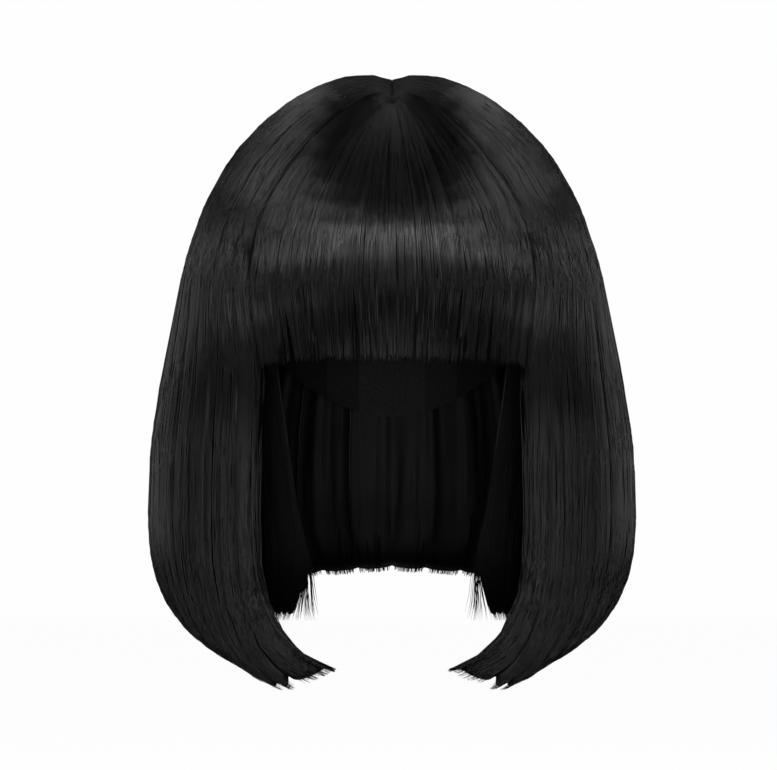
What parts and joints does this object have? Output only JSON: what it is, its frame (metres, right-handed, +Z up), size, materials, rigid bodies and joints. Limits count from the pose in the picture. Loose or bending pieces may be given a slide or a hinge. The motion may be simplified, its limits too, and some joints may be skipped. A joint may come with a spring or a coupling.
{
  "type": "bob wig",
  "caption": "Straight black bob wig with a blunt fringe, a short centre parting and tips that curl in below the chin, on a thin open cap.",
  "frame": {"origin": "inside top of the cap, where the wig sits on a head", "axes": "+Z up, the front of the wig faces -Y, +X at the right of somebody who looks at its front"},
  "size_m": [0.2434, 0.2311, 0.3049],
  "materials": {
    "cap_net": "black stretch net, matt",
    "parting_base": "thin base fabric under sparse hair",
    "hair": "straight black synthetic fibre, satin to glossy along the strands",
    "inner_hair": "straight black synthetic fibre in the wig's own shade"
  },
  "bodies": {
    "root": {"cap": "cap_net", "parting": "parting_base", "fringe": "hair", "side_left": "hair", "side_right": "hair", "back": "hair", "inner_left": "inner_hair", "inner_right": "inner_hair"}
  },
  "joints": []
}
